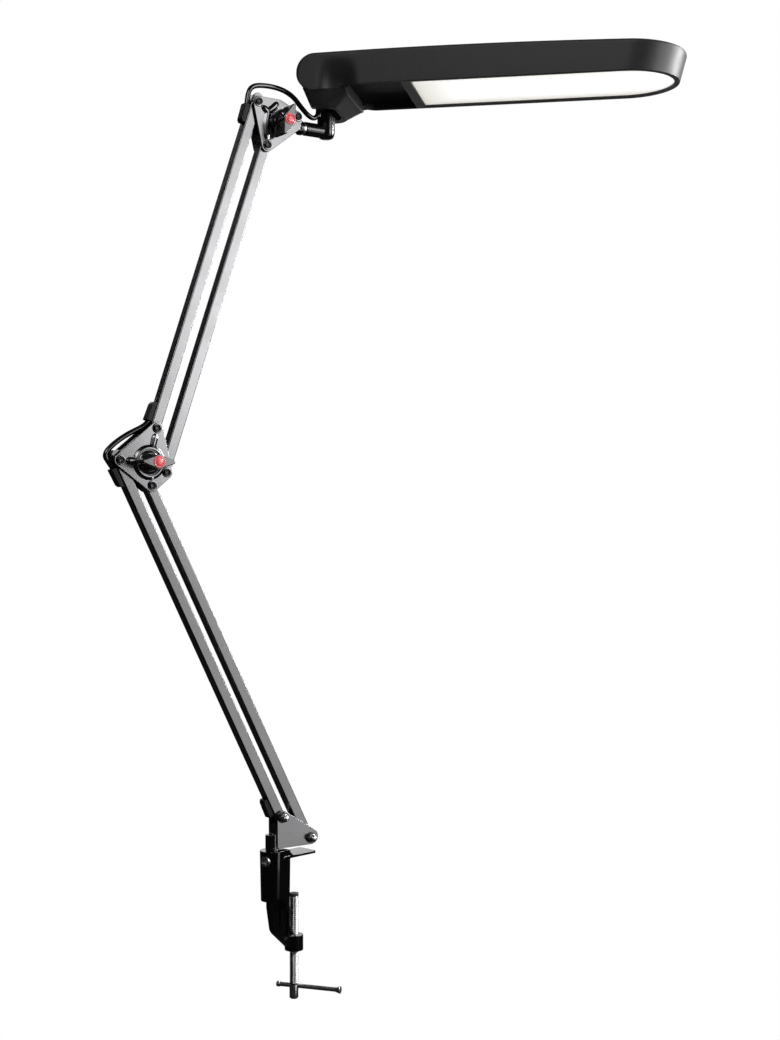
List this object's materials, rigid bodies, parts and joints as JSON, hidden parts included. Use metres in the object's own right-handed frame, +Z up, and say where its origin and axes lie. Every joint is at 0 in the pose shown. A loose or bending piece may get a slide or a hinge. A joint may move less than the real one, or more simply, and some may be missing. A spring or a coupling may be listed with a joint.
{
  "type": "architect desk lamp",
  "caption": "Desk-clamp architect lamp: two parallelogram arms of box tube with wing knobs, balance springs inside, and a long flat light head on a tilting swivel bracket.",
  "frame": {"origin": "on the clamp jaw's underside, on the clamp screw's axis", "axes": "+X the way the jaw points, +Z up; the arms lie in an upright plane turned 12.7 degrees clockwise from +X, seen from above"},
  "size_m": [0.4103, 0.3321, 0.8422],
  "materials": {
    "black_cast": "satin black cast",
    "black_arm_paint": "satin black tube",
    "black_plate_paint": "satin black sheet and casting",
    "black_bracket": "gloss black",
    "bright_steel": "plated",
    "black_steel": "blackened",
    "spring_steel": "oiled",
    "bush_plastic": "black nylon",
    "knob_plastic": "black",
    "red_plastic": "red",
    "hood_plastic": "black",
    "lead_sheath": "black, smooth",
    "head_plastic": "fine texture, dark grey",
    "cover_plastic": "dark",
    "rocker_plastic": "black",
    "opal": "opal white",
    "board": "white solder mask"
  },
  "bodies": {
    "clamp": {"clamp_body": "black_cast", "post_retaining_screw": "bright_steel"},
    "screw_tip": {"clamp_screw_tip": "bush_plastic"},
    "clamp_screw": {"clamp_screw": "bright_steel"},
    "tommy_bar": {"tommy_bar": "bright_steel"},
    "arm_base": {"base_bracket": "black_plate_paint", "swivel_post": "bright_steel", "base_pivot_bolts": "bright_steel", "base_dome_nuts": "bright_steel", "base_nut_washers": "black_steel", "base_friction_washers": "bush_plastic"},
    "lower_rear_link": {"lower_rear_tube": "black_arm_paint", "lower_rear_bushes": "bush_plastic", "lower_foot_cable_hood": "hood_plastic", "lower_top_cable_hood": "hood_plastic", "lower_tube_lead": "lead_sheath"},
    "lower_front_link": {"lower_front_tube": "black_arm_paint", "lower_front_bushes": "bush_plastic", "lower_spring": "spring_steel", "lower_spring_pin": "spring_steel", "lower_spring_cable": "spring_steel"},
    "elbow": {"elbow_front_cheek": "black_plate_paint", "elbow_rear_cheek": "black_plate_paint", "elbow_screws": "black_steel", "elbow_spring_studs": "black_steel", "elbow_clamp_bolt": "black_steel", "elbow_friction_washers": "bush_plastic", "elbow_lead": "lead_sheath"},
    "elbow_knob": {"elbow_wing_knob": "knob_plastic", "elbow_knob_cap": "red_plastic"},
    "upper_rear_link": {"upper_rear_tube": "black_arm_paint", "upper_rear_bushes": "bush_plastic", "upper_foot_cable_hood": "hood_plastic", "upper_top_cable_hood": "hood_plastic", "upper_tube_lead": "lead_sheath"},
    "upper_front_link": {"upper_front_tube": "black_arm_paint", "upper_front_bushes": "bush_plastic", "upper_spring": "spring_steel", "upper_spring_pin": "spring_steel", "upper_spring_cable": "spring_steel"},
    "head_joint": {"head_joint_front_cheek": "black_plate_paint", "head_joint_rear_cheek": "black_plate_paint", "head_joint_screws": "black_steel", "head_joint_washers": "bush_plastic", "head_clamp_bolt": "black_steel", "head_lead": "lead_sheath"},
    "head_knob": {"head_wing_knob": "knob_plastic", "head_knob_cap": "red_plastic"},
    "tilt_bracket": {"tilt_tongue": "black_bracket", "bracket_washer": "bright_steel", "head_bracket": "black_bracket", "bracket_post_nut": "black_steel"},
    "light_head": {"head_housing": "head_plastic", "head_bottom_cover": "cover_plastic", "light_diffuser": "opal", "led_board": "board", "driver_board": "board", "switch_body": "cover_plastic"},
    "rocker": {"rocker_switch": "rocker_plastic"}
  },
  "joints": [
    {"name": "clamp_tip_travel", "type": "slide", "parent": "clamp", "child": "screw_tip", "axis": [0, 0, 1], "range_m": [-0.0339, 0.0289]},
    {"name": "clamp_screw_turn", "type": "hinge", "parent": "screw_tip", "child": "clamp_screw", "pos_m": [0, 0, -0.08], "axis": [0, 0, 1], "range_deg": [-9720, 8280]},
    {"name": "tommy_bar_slide", "type": "slide", "parent": "clamp_screw", "child": "tommy_bar", "axis": [0.4131, -0.9107, 0], "range_m": [-0.0355, 0.009]},
    {"name": "base_swivel", "type": "hinge", "parent": "clamp", "child": "arm_base", "pos_m": [-0.0262, 0, 0], "axis": [0, 0, 1], "continuous": true},
    {"name": "lower_arm_lift", "type": "hinge", "parent": "arm_base", "child": "lower_rear_link", "pos_m": [-0.02054, -0.00127, 0.037], "axis": [0.2197, 0.9756, 0], "range_deg": [-10, 60]},
    {"name": "lower_front_pivot", "type": "hinge", "parent": "arm_base", "child": "lower_front_link", "pos_m": [0.00759, -0.00761, 0.01613], "axis": [0.2197, 0.9756, 0], "range_deg": [-10, 60]},
    {"name": "elbow_pivot", "type": "hinge", "parent": "lower_rear_link", "child": "elbow", "pos_m": [-0.17172, 0.03277, 0.35082], "axis": [0.2197, 0.9756, 0], "range_deg": [-60, 10], "deforming": ["elbow_lead", "lower_spring_cable"]},
    {"name": "elbow_knob_turn", "type": "hinge", "parent": "elbow", "child": "elbow_knob", "pos_m": [-0.14645, 0.02708, 0.34922], "axis": [0.2197, 0.9756, 0], "range_deg": [-90, 90]},
    {"name": "upper_arm_lift", "type": "hinge", "parent": "elbow", "child": "upper_rear_link", "pos_m": [-0.13928, 0.02546, 0.37827], "axis": [0.2197, 0.9756, 0], "range_deg": [-14, 80], "deforming": ["elbow_lead"]},
    {"name": "upper_front_pivot", "type": "hinge", "parent": "elbow", "child": "upper_front_link", "pos_m": [-0.13057, 0.0235, 0.34118], "axis": [0.2197, 0.9756, 0], "range_deg": [-14, 80], "deforming": ["upper_spring_cable"]},
    {"name": "head_joint_pivot", "type": "hinge", "parent": "upper_rear_link", "child": "head_joint", "pos_m": [-0.04403, 0.00402, 0.66722], "axis": [0.2197, 0.9756, 0], "range_deg": [-80, 14], "deforming": ["head_lead"]},
    {"name": "head_knob_turn", "type": "hinge", "parent": "head_joint", "child": "head_knob", "pos_m": [-0.02403, -0.00049, 0.65092], "axis": [0.2197, 0.9756, 0], "range_deg": [-90, 90]},
    {"name": "head_tilt", "type": "hinge", "parent": "head_joint", "child": "tilt_bracket", "pos_m": [-0.02403, -0.00049, 0.65092], "axis": [0.2197, 0.9756, 0], "range_deg": [-4, 75], "deforming": ["head_lead"]},
    {"name": "head_swivel", "type": "hinge", "parent": "tilt_bracket", "child": "light_head", "pos_m": [0.02845, -0.01231, 0.65182], "axis": [0, 0, 1], "range_deg": [-30, 115], "deforming": ["head_lead"]},
    {"name": "switch_rock", "type": "hinge", "parent": "light_head", "child": "rocker", "pos_m": [0.03719, -0.02571, 0.70789], "axis": [0.8376, 0.5462, 0], "range_deg": [-6, 6]}
  ],
  "couplings": [
    {"joint": "clamp_tip_travel", "follows": "clamp_screw_turn", "m_per_rad": 0.00019894},
    {"joint": "lower_front_pivot", "follows": "lower_arm_lift", "ratio": 1},
    {"joint": "elbow_pivot", "follows": "lower_arm_lift", "ratio": -1},
    {"joint": "upper_front_pivot", "follows": "upper_arm_lift", "ratio": 1},
    {"joint": "head_joint_pivot", "follows": "upper_arm_lift", "ratio": -1}
  ]
}
